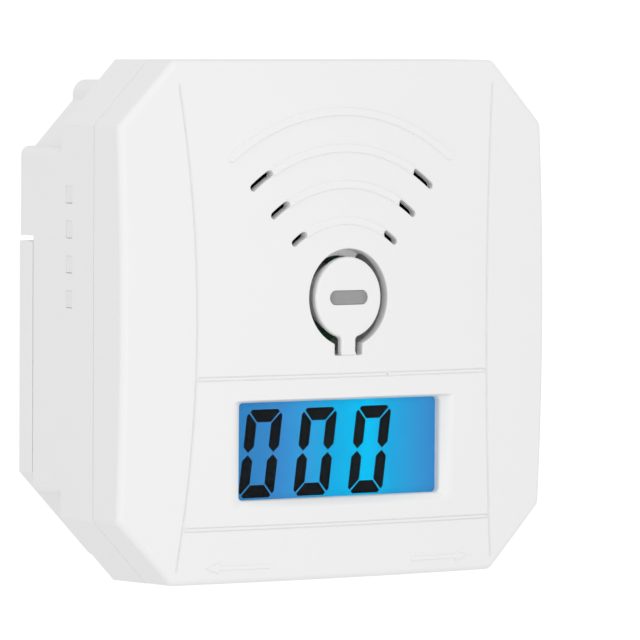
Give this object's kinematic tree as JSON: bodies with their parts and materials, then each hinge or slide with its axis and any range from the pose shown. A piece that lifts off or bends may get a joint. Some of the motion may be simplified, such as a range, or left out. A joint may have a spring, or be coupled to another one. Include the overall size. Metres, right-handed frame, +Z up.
{
  "type": "carbon monoxide detector",
  "caption": "Square wall-mounted gas alarm with clipped corners, digital display, round test button with lamp lens, arced sound slots and a slide-on wall bracket.",
  "frame": {"origin": "midway between the two wall screw holes, on the bracket's wall face", "axes": "+Z up, +X to the right as seen from the front, +Y into the wall; the front faces -Y"},
  "size_m": [0.104, 0.0389, 0.1022],
  "materials": {
    "white_plastic": "fine satin moulded finish",
    "frame_plastic": "moulded, matt",
    "lens_plastic": "smoked translucent plastic",
    "clear_plastic": "clear polished plastic",
    "display_glass": "blue backlit display with black segments",
    "guide_plastic": "clear light guide",
    "contact_rubber": "striped conductive rubber",
    "board": "green solder mask over woven laminate",
    "black_plastic": "moulded, matt",
    "red_lamp": "tinted clear resin",
    "yellow_lamp": "tinted clear resin",
    "green_lamp": "tinted clear resin",
    "sensor_steel": "drawn steel can",
    "pin_metal": "plated",
    "foam": "closed-cell foam",
    "sounder_brass": "rolled sheet",
    "piezo_ceramic": "silvered",
    "capacitor_sleeve": "plastic sleeve over an aluminium can",
    "ferrite": "sintered",
    "crystal_can": "plated can",
    "chip_body": "fired",
    "cell_sleeve": "plain sleeve over a metal can",
    "contact_metal": "nickel-plated spring steel",
    "screw_metal": "zinc-plated",
    "screen_mesh": "fine woven mesh, blackened"
  },
  "bodies": {
    "bracket": {"wall_bracket": "white_plastic"},
    "housing": {"front_cover": "white_plastic", "rear_cover": "white_plastic", "lcd_window": "clear_plastic", "lcd_panel": "display_glass", "lcd_light_guide": "guide_plastic", "inner_frame": "frame_plastic", "contact_strips": "contact_rubber", "main_board": "board", "switch_base": "black_plastic", "led_red": "red_lamp", "led_yellow": "yellow_lamp", "led_green": "green_lamp", "co_sensor": "sensor_steel", "sensor_cap": "frame_plastic", "sensor_pins": "pin_metal", "sensor_gasket": "foam", "sounder_case": "black_plastic", "sounder_disc": "sounder_brass", "piezo_element": "piezo_ceramic", "microcontroller": "black_plastic", "capacitor_1": "capacitor_sleeve", "capacitor_2": "capacitor_sleeve", "inductor": "ferrite", "crystal": "crystal_can", "chip_parts": "chip_body", "battery_cell_1": "cell_sleeve", "battery_cell_2": "cell_sleeve", "battery_cell_3": "cell_sleeve", "contact_springs": "contact_metal", "negative_terminal": "contact_metal", "positive_terminal": "contact_metal", "bridge_left": "contact_metal", "bridge_right": "contact_metal", "shell_screws": "screw_metal", "board_screws": "screw_metal", "vent_screens": "screen_mesh"},
    "button": {"test_button": "white_plastic", "indicator_lens": "lens_plastic"},
    "plunger": {"switch_plunger": "black_plastic"}
  },
  "joints": [
    {"name": "body_slide", "type": "slide", "parent": "bracket", "child": "housing", "axis": [1, 0, 0], "range_m": [-0.011, 0]},
    {"name": "button_hinge", "type": "hinge", "parent": "housing", "child": "button", "pos_m": [0, -0.0378, -0.0069], "axis": [-1, 0, 0], "range_deg": [0, 2], "stiffness_Nm_per_rad": 0.3},
    {"name": "plunger_slide", "type": "slide", "parent": "housing", "child": "plunger", "axis": [0, 1, 0], "range_m": [0, 0.0006]}
  ],
  "couplings": [
    {"joint": "plunger_slide", "follows": "button_hinge", "m_per_rad": 0.0163}
  ]
}
